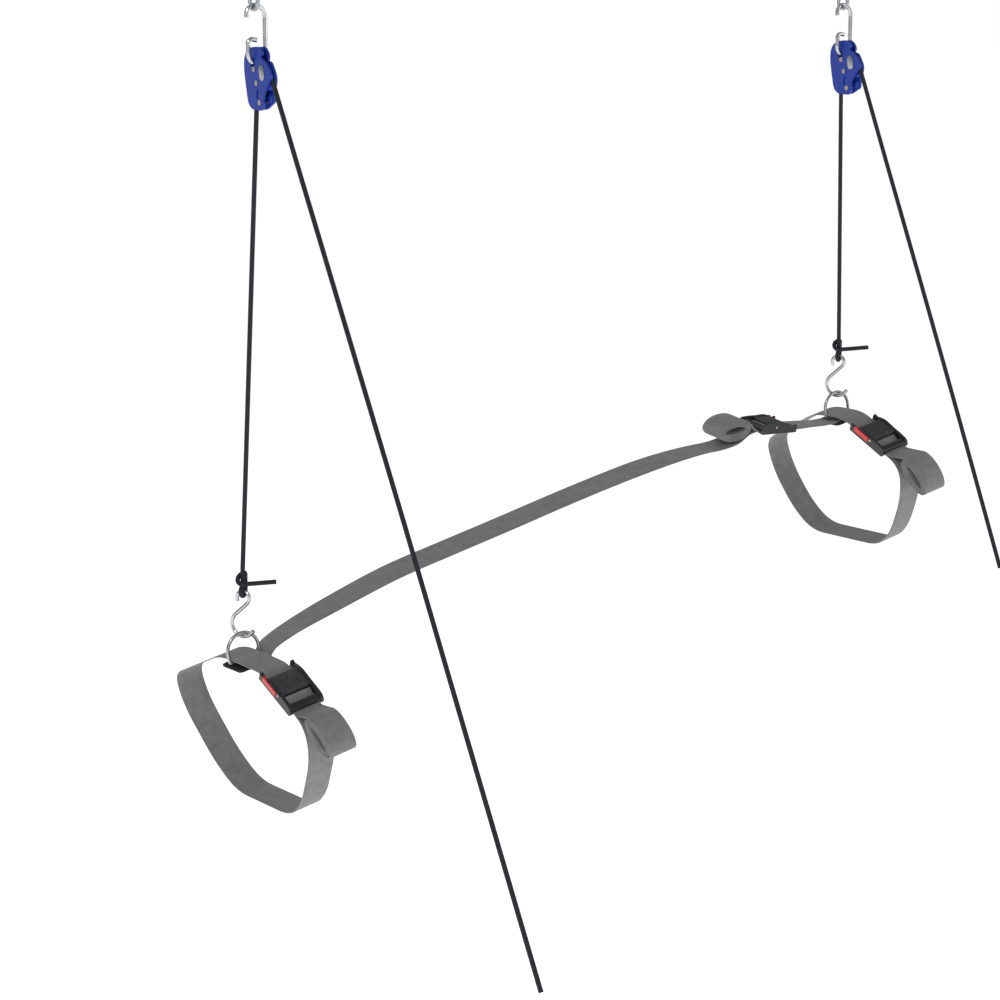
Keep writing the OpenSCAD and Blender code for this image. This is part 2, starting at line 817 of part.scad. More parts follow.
module buckle_body() {
    half = buckle_w / 2;
    x0 = -buckle_len / 2;
    x1 = buckle_len / 2;
    low = -strap_room - floor_t;
    color("#232325")
        difference() {
            union() {
                for (s = [-1, 1])
                    over_strap(s * (half - buckle_wall / 2), buckle_wall) buckle_side_outline();
                over_strap(0, buckle_w - buckle_wall)
                    polygon(soften([
                        [x0 + ear_len, low, 1], [x1 - 7, low, 1],
                        [x1 - 7, low + floor_t, 1], [x0 + ear_len, low + floor_t, 1]
                    ], 1));
                over_strap(0, buckle_w - buckle_wall)
                    polygon(soften([
                        [x1 - nose_len, nose_room, 1], [x1 - 1, nose_room, 2],
                        [x1 - 1, nose_z - 3, 4], [x1 - 6, nose_z, 4],
                        [x1 - nose_len + ridge_d, nose_z + 0.8, 2],
                        [x1 - nose_len + ridge_d / 2, nose_z + ridge_d, 1],
                        [x1 - nose_len, nose_z + ridge_d / 2, 1]
                    ], 4));
            }
            translate([pin_x, half + cut_over, pin_z])
                rotate([90, 0, 0])
                    cylinder(d = lid_pin_d + 2 * pin_gap, h = buckle_w + 2 * cut_over);
            translate([button_x - button_len / 2 - free_gap, -half - cut_over, button_z - free_gap])
                cube([
                    button_len + 2 * free_gap,
                    buckle_wall + 2 * cut_over,
                    button_h + 2 * free_gap
                ]);
        }
}
nose_room = web_t * 1.5 + 2 * free_gap;

module buckle_pin() {
    color("gainsboro")
        translate([pin_x, buckle_w / 2, pin_z])
            rotate([90, 0, 0]) cylinder(d = lid_pin_d, h = buckle_w);
}

// A spring round the pin, with one straight end
module buckle_spring() {
    steps = 8 * spring_turns;
    pitch = (spring_room - 2 * spring_wire) / spring_turns;
    rings = [
        for (i = [0 : steps])
            let (
                q = 360 * spring_turns * i / steps,
                c = [cos(q) * spring_r, (i / steps - 0.5) * pitch * spring_turns, sin(q) * spring_r],
                out = [cos(q), 0, sin(q)]
            )
            [
                for (k = [0 : 5])
                    c + (out * cos(60 * k) + [0, 1, 0] * sin(60 * k)) * spring_wire / 2
            ]
    ];
    color("silver") translate([pin_x, 0, pin_z]) tube(rings);
}

module buckle_lid() {
    x0 = -buckle_len / 2;
    low_z = pin_z + 2;
    top_z = low_z + lid_t;
    color("#3a3a3e")
        difference() {
            union() {
                over_strap(0, lid_w)
                    polygon(soften([
                        [x0 + 9, low_z - 2, 1], [pin_x, low_z - 1, 1], [pin_x + 6, low_z - 1, 2],
                        [pin_x + 5, top_z - 0.6, 2], [-15, top_z + 1, 10], [x0 + 12, top_z - 1, 3]
                    ], 4));
                translate([pin_x, lid_w / 2, pin_z])
                    rotate([90, 0, 0]) cylinder(r = cam_r, h = lid_w);
            }
            translate([pin_x, lid_w / 2 + cut_over, pin_z])
                rotate([90, 0, 0])
                    cylinder(d = lid_pin_d + 2 * turn_gap, h = lid_w + 2 * cut_over);
            translate([pin_x, spring_room / 2, pin_z])
                rotate([90, 0, 0])
                    cylinder(r = spring_r + spring_wire, h = spring_room);
        }
}

module buckle_button() {
    half = buckle_w / 2;
    color("#c81e22")
        translate([button_x - button_len / 2, -half - button_proud, button_z])
            cube([button_len, button_depth + button_proud, button_h]);
}

// The tail: from the window, under the nose, over the top of an oval roll and into it
function roll_line(centre, lean, turns) = [
    for (i = [0 : 24 * turns])
        let (
            q = roll_start - 360 * i / 24,
            shrink = roll_pitch * i / 24,
            p = [(roll_long - shrink) * cos(q), (roll_short - shrink) * sin(q)]
        )
        centre + [p[0] * cos(lean) - p[1] * sin(lean), p[0] * sin(lean) + p[1] * cos(lean)]
];

module roll(centre, lean) {
    x1 = buckle_len / 2;
    lay = web_t + free_gap / 2;
    line = roll_line(centre, lean, roll_turns);
    lead = [
        [pin_x + cam_r + 1.4, nose_z - 3.6], [pin_x + cam_r + 5, nose_z - 4.6],
        [x1 - nose_len - 5, lay + 0.6], [x1 - nose_len, lay], [x1 + 3, lay],
        ([x1 + 3, lay] + line[0]) / 2 - [0, 1]
    ];
    color("#7f7c80") over_strap(0, web_w) ribbon(concat(lead, line), web_t);
}

bow_roll_centre = [buckle_len / 2 + 66, 9];
stern_roll_centre = [buckle_len / 2 + 76, 3];
deck_roll_centre = [buckle_len / 2 + 58, 5];

module at_stern() {
    translate([eye_span, 0, 0]) children();
}
module at_bow_base() {
    translate([bow_lean, 0, -bow_drop]) children();
}
module at_stern_base() {
    translate([eye_span + stern_lean, 0, -stern_drop]) children();
}

echo(knot_self_gap = self_gap(knot_line(bow_knot_h), rope_d));

screw_eye();  // bow_screw_eye
hanging_hook();  // bow_hook
front_cheek();  // bow_front_cheek
rear_cheek();  // bow_rear_cheek
rivets();  // bow_rivets
sheave();  // bow_sheave
rope_turn(bow_pull_angle);  // bow_rope_turn
pull_rope(bow_pull_angle, bow_pull_route, bow_pull_len);  // bow_pull_rope
load_rope(bow_lean, bow_knot_z);  // bow_load_rope
at_bow_base() translate([0, 0, s_top_z]) knot(bow_knot_h);  // bow_knot
at_bow_base() translate([0, 0, s_low_z]) s_hook();  // bow_s_hook
at_bow_base() rotate([0, -hull_tilt, 0]) translate([0, 0, -bar_depth]) ring();  // bow_ring
at_stern() screw_eye();  // stern_screw_eye
at_stern() hanging_hook();  // stern_hook
at_stern() front_cheek();  // stern_front_cheek
at_stern() rear_cheek();  // stern_rear_cheek
at_stern() rivets();  // stern_rivets
at_stern() sheave();  // stern_sheave
at_stern() rope_turn(stern_pull_angle);  // stern_rope_turn
at_stern() pull_rope(stern_pull_angle, stern_pull_route, stern_pull_len);  // stern_pull_rope
at_stern() load_rope(stern_lean, stern_knot_z);  // stern_load_rope
at_stern_base() translate([0, 0, s_top_z]) knot(stern_knot_h);  // stern_knot
at_stern_base() translate([0, 0, s_low_z]) s_hook();  // stern_s_hook
at_stern_base() rotate([0, -hull_tilt, 0]) translate([0, 0, -bar_depth]) ring();  // stern_ring
girth(0, bow_girth_shares, bow_girth_w, bow_girth_h);  // bow_girth
girth(hull_span, stern_girth_shares, stern_girth_w, stern_girth_h);  // stern_girth
deck_strap();
pad(0);  // bow_pad
pad(hull_span);  // stern_pad
at_girth_buckle(0, bow_place) roll(bow_roll_centre, -8);  // bow_roll
at_girth_buckle(hull_span, stern_place) roll(stern_roll_centre, -22);  // stern_roll
at_deck_buckle() roll(deck_roll_centre, -6);  // deck_roll
at_girth_buckle(0, bow_place) buckle_body();  // bow_buckle_body
at_girth_buckle(0, bow_place) buckle_pin();  // bow_buckle_pin
at_girth_buckle(0, bow_place) buckle_spring();  // bow_buckle_spring
at_girth_buckle(0, bow_place) buckle_lid();  // bow_buckle_lid
at_girth_buckle(0, bow_place) buckle_button();  // bow_buckle_button
at_girth_buckle(hull_span, stern_place) buckle_body();  // stern_buckle_body
at_girth_buckle(hull_span, stern_place) buckle_pin();  // stern_buckle_pin
at_girth_buckle(hull_span, stern_place) buckle_spring();  // stern_buckle_spring
at_girth_buckle(hull_span, stern_place) buckle_lid();  // stern_buckle_lid
at_girth_buckle(hull_span, stern_place) buckle_button();  // stern_buckle_button
at_deck_buckle() buckle_body();  // deck_buckle_body
at_deck_buckle() buckle_pin();  // deck_buckle_pin
at_deck_buckle() buckle_spring();  // deck_buckle_spring
at_deck_buckle() buckle_lid();  // deck_buckle_lid
at_deck_buckle() buckle_button();  // deck_buckle_button
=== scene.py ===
"""Dresses the kayak ceiling hoist: ropes, webbing, black sheets that paint the shadow under the
straps, finishes, stage and camera.
"""
import json
import math

import bpy
from mathutils import Matrix, Vector


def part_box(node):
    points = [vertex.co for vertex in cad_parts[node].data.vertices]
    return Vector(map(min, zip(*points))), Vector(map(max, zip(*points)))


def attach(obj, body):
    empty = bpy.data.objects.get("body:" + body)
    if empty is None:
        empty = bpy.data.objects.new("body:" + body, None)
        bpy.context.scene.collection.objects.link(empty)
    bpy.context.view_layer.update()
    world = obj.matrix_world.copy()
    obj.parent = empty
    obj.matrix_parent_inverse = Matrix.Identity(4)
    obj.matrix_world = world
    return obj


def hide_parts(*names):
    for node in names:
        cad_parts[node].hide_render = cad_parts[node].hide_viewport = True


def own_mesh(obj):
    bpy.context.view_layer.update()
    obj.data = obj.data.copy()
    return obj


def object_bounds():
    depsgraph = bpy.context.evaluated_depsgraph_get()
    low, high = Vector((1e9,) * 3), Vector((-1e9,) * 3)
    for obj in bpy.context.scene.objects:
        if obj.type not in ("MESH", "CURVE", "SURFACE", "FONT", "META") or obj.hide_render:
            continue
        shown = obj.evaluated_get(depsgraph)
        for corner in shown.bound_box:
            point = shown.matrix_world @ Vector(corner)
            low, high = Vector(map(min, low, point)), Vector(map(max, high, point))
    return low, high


bl_info = {
    "name": "Kayak ceiling hoist",
    "version": (1, 0, 0),
    "blender": (4, 5, 0),
    "location": "View3D > Sidebar > Hoist",
    "description": "Builds the ropes, webbing and finishes of a kayak ceiling hoist",
    "category": "Object",
}

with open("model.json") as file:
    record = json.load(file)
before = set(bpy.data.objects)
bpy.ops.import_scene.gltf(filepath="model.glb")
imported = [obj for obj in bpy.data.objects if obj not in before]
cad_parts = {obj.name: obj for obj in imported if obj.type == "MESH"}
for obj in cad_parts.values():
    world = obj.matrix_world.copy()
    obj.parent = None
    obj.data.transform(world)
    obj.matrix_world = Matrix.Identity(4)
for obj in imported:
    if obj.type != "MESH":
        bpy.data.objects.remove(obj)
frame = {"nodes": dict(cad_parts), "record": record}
CAD_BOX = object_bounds()
SLOT_OF = {piece["node"]: piece["material_slot"] for piece in frame["record"]["subparts"]}
MM = 0.001

# The hull's slope, and the places of the two hangers, in millimetres
BOW_BASE = Vector((-40, 0, -1092))
STERN_BASE = Vector((1295, 0, -803))
HULL = STERN_BASE - BOW_BASE
TILT = math.atan2(HULL.z, HULL.x)
SPAN = HULL.length
TO_HULL = Matrix.Translation(BOW_BASE) @ Matrix.Rotation(-TILT, 4, "Y")

# Sizes in millimetres, and angles in degrees, as in the CAD
WEB_T = 2.2
FREE_GAP = 0.3
TURN_GAP = 0.1
ROPE_D = 8
RING_WIRE = 6
RING_H = 45
S_WIRE = 7
S_RISE = 77
BUCKLE_LEN = 88
NOSE_LEN = 14
PIN_X = 4
CAM_R = 6.2
NOSE_Z = 10.6
BAR_DEPTH = WEB_T + 3 * FREE_GAP + RING_WIRE / 2
S_SEAT = S_WIRE / 2 + RING_WIRE / 2 + 3 * FREE_GAP
S_TOP = RING_H - BAR_DEPTH - S_SEAT + S_RISE
S_TURN = 30
WRAP_ANGLE = 204
KNOT_TAIL = 56
STRAP_DEPTH = 10.4

# Girth sections: (share of half width, share of depth, softening), from the top
BOW_GIRTH = {
    "half_width": 212, "depth": 262, "centre": 0, "along": 53,
    "shares": [(-0.20, 0, 30), (0.16, 0, 24), (0.45, 0.012, 16), (0.95, 0.279, 26),
               (0.935, 0.50, 40), (0.64, 0.87, 30), (0.42, 1, 36), (-0.42, 1, 36),
               (-0.70, 0.83, 30), (-1.02, 0.50, 40), (-1.06, 0.28, 26)],
}
STERN_GIRTH = {
    "half_width": 188, "depth": 252, "centre": SPAN, "along": 68,
    "shares": [(-0.20, 0, 26), (0.14, 0, 10), (0.27, 0.015, 14), (0.97, 0.31, 30),
               (0.93, 0.56, 40), (0.70, 0.87, 30), (0.50, 1, 34), (-0.50, 1, 34),
               (-0.75, 0.84, 30), (-0.98, 0.55, 40), (-1.03, 0.30, 26)],
}
DECK_SPAN = 1364
# Distance along the hull, and height
DECK_ROUTE = [
    (12, -STRAP_DEPTH), (34, -STRAP_DEPTH), (42, -3), (56, 4), (100, 14), (180, 25), (306, 38),
    (430, 41), (549, 43), (683, 46), (790, 47), (876, 46), (950, 42), (1010, 36), (1050, 30),
    (1090, 29), (1136, 38), (1228, 14), (1270, 4), (1310, -6), (1340, -STRAP_DEPTH),
    (1352, -STRAP_DEPTH),
]
DECK_TWIST = 15
DECK_TWIST_SHARES = [
    0, 0, 0.1, 0.2, 0.4, 0.8, 1, 1, 1, 1, 1, 1, 0.8, 0.6, 0.6, 0.6, 0.6, 0.6, 0.4, 0.2, 0, 0,
]
DECK_BUCKLE = (1182, 26, -14.6)
DECK_BUCKLE_TWIST_SHARE = 0.6
# Each roll's centre in its buckle's frame, and its lean
ROLLS = {"bow": ((BUCKLE_LEN / 2 + 66, 9), -8), "stern": ((BUCKLE_LEN / 2 + 76, 3), -22),
         "deck": ((BUCKLE_LEN / 2 + 58, 5), -6)}
ROLL_START, ROLL_LONG, ROLL_SHORT, ROLL_PITCH, ROLL_TURNS = 160, 40, 20.5, 2.8, 5
ROLL_STEPS = 36
LAY = WEB_T + FREE_GAP / 2

HANGERS = {"bow": Vector((0, 0, 0)), "stern": Vector((1285, 0, 0))}
BASES = {"bow": BOW_BASE, "stern": STERN_BASE}
PULL_ANGLE = {"bow": 28.85, "stern": 24.1}
# Distance along the pull rope, and how far it bows out
PULL_ROUTE = {
    "bow": [(0, 0), (150, 0), (300, 1), (500, 2), (750, 3), (1000, 2), (1250, 1), (1490, 0)],
    "stern": [(0, 0), (150, 0), (300, 1), (500, 2), (700, 2), (850, 1), (970, 0)],
}
BLOCK_X = 4
PITCH_R = 14.8
SHEAVE_W = 11
LOAD_W = SHEAVE_W - PITCH_R
LOAD_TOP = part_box("bow_load_rope")[1][2] / MM
KNOT_TOP = {side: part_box(side + "_knot")[1][2] / MM for side in HANGERS}
SHEAVE_Z = (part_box("bow_sheave")[0][2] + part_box("bow_sheave")[1][2]) / 2 / MM
LEAVE_ANGLE = 76
LEAVE = math.radians(LEAVE_ANGLE)
GUIDE_W = 46
GUIDE_R = 12
GUIDE_Z = SHEAVE_Z + PITCH_R * math.sin(LEAVE) - (
    GUIDE_W - SHEAVE_W - PITCH_R * math.cos(LEAVE)
) / math.tan(LEAVE)

# Black sheets under the rings that paint the shadow in the gap under the tented straps, in
# millimetres
SHADOW_SHEET_T = 5
SHADOW_SHEET_HALF = (30, 31)
SHADOW_SHEET_SOFT = 8
# The painted shadow sheet's edge: height above its low face or below its high face, and how far it
# is drawn in
SHADOW_SHEET_EDGE = ((0, 3), (0, 1.2), (0.7, 0.3), (1.6, 0))
# The oval plate, in metres: how far it stands off the cheek's face, and its share of the oval
PLATE_STEPS = ((-0.0002, 0.97), (0.0001, 0.97), (0.00025, 0.93))
FACE_TOLERANCE = 0.0001

# The stage, in metres and degrees
FLOOR_HALF = 60.0
FLOOR_DROP = 0.05
# Name, place, what it aims at, power and width
LAMPS = (
    ("Key", (-3.2, -3.4, 2.2), (0.4, 0, -0.7), 85, 2.0),
    ("Fill", (3.6, -3.0, 0.6), (0.6, 0, -0.8), 22, 2.2),
    ("Rim", (0.6, 3.4, 1.6), (0.6, 0, -0.7), 30, 2.0),
)
CAMERA_PLACE = (-2.1969, -3.6939, -0.026)
CAMERA_YAW, CAMERA_PITCH = 36, 10.69
SENSOR_WIDTH = 36
FOCAL_SHARE = 2.628


class HoistSizes(bpy.types.PropertyGroup):
    rope_diameter: bpy.props.FloatProperty(
        name="Rope diameter", description="Diameter of the braided ropes",
        default=0.008, min=0.005, max=0.012, unit="LENGTH")
    web_width: bpy.props.FloatProperty(
        name="Webbing width", description="Width of the webbing",
        default=0.051, min=0.04, max=0.06, unit="LENGTH")
    web_thickness: bpy.props.FloatProperty(
        name="Webbing thickness", description="Thickness of the webbing",
        default=0.0022, min=0.001, max=0.003, unit="LENGTH")
    soft_edge: bpy.props.FloatProperty(
        name="Moulded edge", description="Radius of the moulded pieces' edges",
        default=0.0005, min=0.0, max=0.002, unit="LENGTH")


class HoistColours(bpy.types.PropertyGroup):
    rope: bpy.props.FloatVectorProperty(
        name="Rope", description="Colour of the ropes' cover", subtype="COLOR",
        size=3, default=(0.003, 0.0045, 0.012), min=0, max=1)
    webbing: bpy.props.FloatVectorProperty(
        name="Webbing", description="Colour of the webbing", subtype="COLOR",
        size=3, default=(0.185, 0.178, 0.182), min=0, max=1)
    block: bpy.props.FloatVectorProperty(
        name="Block", description="Colour of the rope-lock blocks", subtype="COLOR",
        size=3, default=(0.0015, 0.030, 0.30), min=0, max=1)
    button: bpy.props.FloatVectorProperty(
        name="Buttons", description="Colour of the release buttons", subtype="COLOR",
        size=3, default=(0.60, 0.008, 0.012), min=0, max=1)
    # The buckles' colour, also used for the black sheets that paint the shadow under the straps
    buckle: bpy.props.FloatVectorProperty(
        name="Buckles", description="Colour of the buckles and of the painted shadow sheets", subtype="COLOR",
        size=3, default=(0.014, 0.014, 0.016), min=0, max=1)


def smooth_line(points, parts):
    """Points on a smooth line through these points."""
    count = len(points)
    line = []
    for i in range(count - 1):
        a, b, c, d = (points[min(max(i + k, 0), count - 1)] for k in (-1, 0, 1, 2))
        for k in range(parts):
            s = k / parts
            line.append(0.5 * (2 * b + (c - a) * s + (2 * a - 5 * b + 4 * c - d) * s * s
                               + (3 * b - a - 3 * c + d) * s ** 3))
    return line + [points[-1].copy()]


def bend(a, corner, b, steps):
    """Points of a curve from a to b that leaves and arrives towards the corner."""
    shares = [k / steps for k in range(steps + 1)]
    return [a * (1 - s) ** 2 + corner * 2 * s * (1 - s) + b * s * s for s in shares]


def compass(degrees):
    """A unit vector in the plane at this angle."""
    return Vector((math.cos(math.radians(degrees)), math.sin(math.radians(degrees))))


def hanging(degrees):
    """A unit vector in the plane at this angle from straight down."""
    return Vector((math.sin(math.radians(degrees)), -math.cos(math.radians(degrees))))


def soften(points, steps=8, most=0.49):
    """A closed outline whose corners are softened, from (x, y, cut)."""
    outline = []
    for i, (x, y, cut) in enumerate(points):
        p = Vector((x, y))
        back = Vector(points[i - 1][:2]) - p
        ahead = Vector(points[(i + 1) % len(points)][:2]) - p
        a = p + back.normalized() * min(cut, back.length * most)
        b = p + ahead.normalized() * min(cut, ahead.length * most)
        outline += bend(a, p, b, steps)
    return outline


def spaced(points, step, closed=False):
    """The same line with a point about every step."""
    line = points + [points[0]] if closed else points
    lengths = [0]
    for a, b in zip(line, line[1:]):
        lengths.append(lengths[-1] + (b - a).length)
    count = max(int(lengths[-1] / step), 2)
    out, i = [], 0
    for k in range(count if closed else count + 1):
        at = lengths[-1] * k / count
        while i < len(line) - 2 and lengths[i + 1] < at:
            i += 1
        run = lengths[i + 1] - lengths[i] or 1
        out.append(line[i].lerp(line[i + 1], (at - lengths[i]) / run))
    return out


def skin(name, rings, closed=False, wrap_uv=None):
    """A mesh through rings of points in metres, with UVs: metres along, and wrap_uv across."""
    count, sides = len(rings), len(rings[0])
    verts = [p for ring in rings for p in ring]
    middles = [sum(ring, Vector()) / sides for ring in rings]
    along = [0]
    for i in range(count):
        along.append(along[-1] + (middles[(i + 1) % count] - middles[i]).length)
    faces, uvs = [], []
    wrap_uv = wrap_uv or [k / sides for k in range(sides + 1)]
    for i in range(count if closed else count - 1):
        j = (i + 1) % count
        for k in range(sides):
            n = (k + 1) % sides
            faces.append((i * sides + k, i * sides + n, j * sides + n, j * sides + k))
            uvs += [(along[i], wrap_uv[k]), (along[i], wrap_uv[k + 1]),
                    (along[i + 1], wrap_uv[k + 1]), (along[i + 1], wrap_uv[k])]
    if not closed:
        faces.append(tuple(range(sides))[::-1])
        faces.append(tuple((count - 1) * sides + k for k in range(sides)))
        uvs += [(0, wrap_uv[k]) for k in range(sides)] * 2
    mesh = bpy.data.meshes.new(name)
    mesh.from_pydata([tuple(v) for v in verts], [], faces)
    layer = mesh.uv_layers.new(name="Lay")
    for loop, uv in zip(layer.data, uvs):
        loop.uv = uv
    mesh.update()
    obj = bpy.data.objects.new(name, mesh)
    bpy.context.scene.collection.objects.link(obj)
    bpy.context.view_layer.update()
    mesh.polygons.foreach_set("use_smooth", [True] * len(mesh.polygons))
    mesh.set_sharp_from_angle(angle=math.radians(50))
    return obj


def rope_piece(name, points, diameter, step, sides=14):
    """A round rope along points in millimetres."""
    line = [p * MM for p in spaced(points, step)]
    rings = []
    normal = None
    for i, p in enumerate(line):
        ahead = (line[min(i + 1, len(line) - 1)] - line[max(i - 1, 0)]).normalized()
        if normal is None:
            normal = ahead.orthogonal().normalized()
        normal = (normal - ahead * normal.dot(ahead)).normalized()
        third = ahead.cross(normal)
        rings.append([p + (normal * math.cos(2 * math.pi * k / sides)
                           + third * math.sin(2 * math.pi * k / sides)) * diameter / 2
                      for k in range(sides)])
    return skin(name, rings)


def web_piece(name, points, across, out, width, thickness, closed=False):
    """Webbing along points in millimetres, with its direction across and outwards at each."""
    edge, half, strips, dip = 1.2 * MM, thickness / 2, 6, 0.94
    section = [(-width / 2, -half / 2), (-width / 2 + edge, -half)]
    section += [(width * (k / strips - 0.5), -half * dip) for k in range(1, strips)]
    section += [(width / 2 - edge, -half), (width / 2, -half / 2)]
    section += [(y, -z) for y, z in reversed(section)]
    rings = [[p * MM + a * y + o * z for y, z in section]
             for p, a, o in zip(points, across, out)]
    wraps = [y for y, _ in section] + [section[0][0]]
    return skin(name, rings, closed, wraps)


def outwards(points, across, closed=False):
    """The webbing's outward direction at each point."""
    count = len(points)
    found = []
    for i in range(count):
        a = points[(i - 1) % count] if closed else points[max(i - 1, 0)]
        b = points[(i + 1) % count] if closed else points[min(i + 1, count - 1)]
        found.append((b - a).cross(across[i]).normalized())
    return found


def girth_line(girth):
    """A girth's section line in (towards the user, up)."""
    shares = [(x * girth["half_width"], y * girth["depth"], cut) for x, y, cut in girth["shares"]]
    return [Vector((p.x, -p.y - WEB_T / 2)) for p in soften(shares)]


def in_hull(s, u, up):
    """A point in the shared frame, from along the hull, towards the user and up."""
    return TO_HULL @ Vector((s, -u, up))


def girth_frame(girth):
    """The matrix of a buckle on a girth."""
    (ax, ay, _), (bx, by, _) = girth["shares"][2], girth["shares"][3]
    a = Vector((ax * girth["half_width"], ay * girth["depth"]))
    b = Vector((bx * girth["half_width"], by * girth["depth"]))
    p = a + (b - a).normalized() * girth["along"]
    slope = math.atan2(b.y - a.y, b.x - a.x)
    return (TO_HULL @ Matrix.Translation((girth["centre"], -p.x, -p.y - WEB_T / 2))
            @ Matrix.Rotation(-math.pi / 2, 4, "Z") @ Matrix.Rotation(slope, 4, "Y"))


def deck_frame():
    """The matrix of the deck strap's buckle."""
    s, up, slope = DECK_BUCKLE
    return (TO_HULL @ Matrix.Translation((s * SPAN / DECK_SPAN, 0, up))
            @ Matrix.Rotation(math.radians(DECK_TWIST * DECK_BUCKLE_TWIST_SHARE), 4, "X")
            @ Matrix.Rotation(math.pi, 4, "Z") @ Matrix.Rotation(math.radians(slope), 4, "Y"))


def buckle_frame(side):
    """The matrix of a buckle."""
    if side == "deck":
        return deck_frame()
    return girth_frame(BOW_GIRTH if side == "bow" else STERN_GIRTH)


def roll_route(centre, lean):
    """The tail from the buckle's window into its oval roll, in the buckle's frame."""
    lean = math.radians(lean)
    spiral = []
    for i in range(ROLL_STEPS * ROLL_TURNS + 1):
        q = math.radians(ROLL_START - 360 / ROLL_STEPS * i)
        shrink = ROLL_PITCH * i / ROLL_STEPS
        x, z = (ROLL_LONG - shrink) * math.cos(q), (ROLL_SHORT - shrink) * math.sin(q)
        spiral.append(Vector((centre[0] + x * math.cos(lean) - z * math.sin(lean), 0,
                              centre[1] + x * math.sin(lean) + z * math.cos(lean))))
    end, cam = BUCKLE_LEN / 2, PIN_X + CAM_R
    lead = [Vector((x, 0, z)) for x, z in (
        (cam + 1.4, NOSE_Z - 3.6), (cam + 5, NOSE_Z - 4.6), (end - NOSE_LEN - 5, LAY + 0.6),
        (end - NOSE_LEN, LAY), (end + 3, LAY))]
    lead.append((lead[-1] + spiral[0]) / 2 - Vector((0, 0, 1)))
    parts = 5
    return smooth_line(lead + spiral[:2], parts)[:-parts] + spiral[1:]


def knot_route(height):
    """The knot's line about the middle of the S-hook's top wire."""
    loop_r = S_WIRE / 2 + ROPE_D / 2 + FREE_GAP
    wrap_r = ROPE_D + 2 * FREE_GAP
    wrap_low = loop_r + ROPE_D * 0.72
    top = height + S_WIRE / 2
    wrap_top = top - ROPE_D
    turn = math.radians(S_TURN)
    out = Vector((math.cos(turn), math.sin(turn), 0))
    up = Vector((0, 0, 1))
    line = [up * top, up * (top - ROPE_D), up * (wrap_low + 2)]
    line += [up * (wrap_low - k * wrap_low / 4.6)
             - out * loop_r * (1 - math.cos(math.radians(45 * k))) / 2 for k in range(1, 5)]
    line += [-out * loop_r * math.cos(math.radians(15 * k))
             - up * loop_r * math.sin(math.radians(15 * k)) for k in range(1, 13)]
    line += [up * (wrap_top - ROPE_D / 2) * k / 3 + out * (loop_r + wrap_r) / 2
             for k in range(1, 4)]
    for k in range(13):
        q = turn + math.radians(WRAP_ANGLE * k / 12)
        z = wrap_top + (wrap_low - wrap_top) * (1 - math.cos(math.radians(15 * k))) / 2
        line.append(Vector((math.cos(q) * wrap_r, math.sin(q) * wrap_r, z)))
    end = turn + math.radians(WRAP_ANGLE)
    tail = Vector((-math.sin(end), math.cos(end), 0.08))
    line += [line[-1] + tail * KNOT_TAIL * k / 4 for k in range(1, 5)]
    return line


def block_point(side, p):
    """A point of (towards the user, up) in the block's middle plane."""
    return HANGERS[side] + Vector((BLOCK_X, -p.x, p.y))


def guide_cut(side):
    """How far from the guide's corner the rope starts to bend."""
    return GUIDE_R * math.tan(math.radians(LEAVE_ANGLE - PULL_ANGLE[side]) / 2)


def turn_route(side):
    """The rope from the block's mouth over the sheave to the jam slot."""
    centre, corner = Vector((SHEAVE_W, SHEAVE_Z)), Vector((GUIDE_W, GUIDE_Z))
    sweep, steps = 180 - LEAVE_ANGLE, 12
    points = [Vector((LOAD_W, LOAD_TOP)), Vector((LOAD_W, SHEAVE_Z))]
    points += [centre + compass(180 - sweep * k / steps) * PITCH_R for k in range(1, steps + 1)]
    cut = guide_cut(side)
    points += bend(corner - hanging(LEAVE_ANGLE) * cut, corner,
                   corner + hanging(PULL_ANGLE[side]) * cut, 8)
    return [block_point(side, p) for p in points]


def pull_route(side):
    """The pull rope's line, from the jam slot to its cut end."""
    along, out = hanging(PULL_ANGLE[side]), compass(PULL_ANGLE[side])
    start = Vector((GUIDE_W, GUIDE_Z)) + along * guide_cut(side)
    points = [start + along * s + out * bow for s, bow in PULL_ROUTE[side]]
    return smooth_line([block_point(side, p) for p in points], 4)


def group(name, inputs, mask):
    """A shader node group with these numbers, and outputs for its height and its mask."""
    made = bpy.data.node_groups.new(name, "ShaderNodeTree")
    for label, value in inputs:
        socket = made.interface.new_socket(label, in_out="INPUT", socket_type="NodeSocketFloat")
        socket.default_value = value
    for label in ("Height", mask):
        made.interface.new_socket(label, in_out="OUTPUT", socket_type="NodeSocketFloat")
    return made, made.nodes.new("NodeGroupInput"), made.nodes.new("NodeGroupOutput")


def maths(tree, operation, a, b=None):
    """The output of a maths node, from numbers or sockets."""
    node = tree.nodes.new("ShaderNodeMath")
    node.operation = operation
    for socket, value in zip(node.inputs, (a, b)):
        if isinstance(value, (int, float)):
            socket.default_value = value
        elif value is not None:
            tree.links.new(value, socket)
    return node.outputs[0]


def ridges(tree, at):
    """Rounded ridges, one for each whole number."""
    return maths(tree, "ABSOLUTE", maths(tree, "SINE", maths(tree, "MULTIPLY", at, math.pi)))


def lay_of(tree):
    """The place along and across the piece, from its UVs."""
    lay = tree.nodes.new("ShaderNodeUVMap")
    lay.uv_map = "Lay"
    split = tree.nodes.new("ShaderNodeSeparateXYZ")
    tree.links.new(lay.outputs[0], split.inputs[0])
    return split.outputs[0], split.outputs[1]


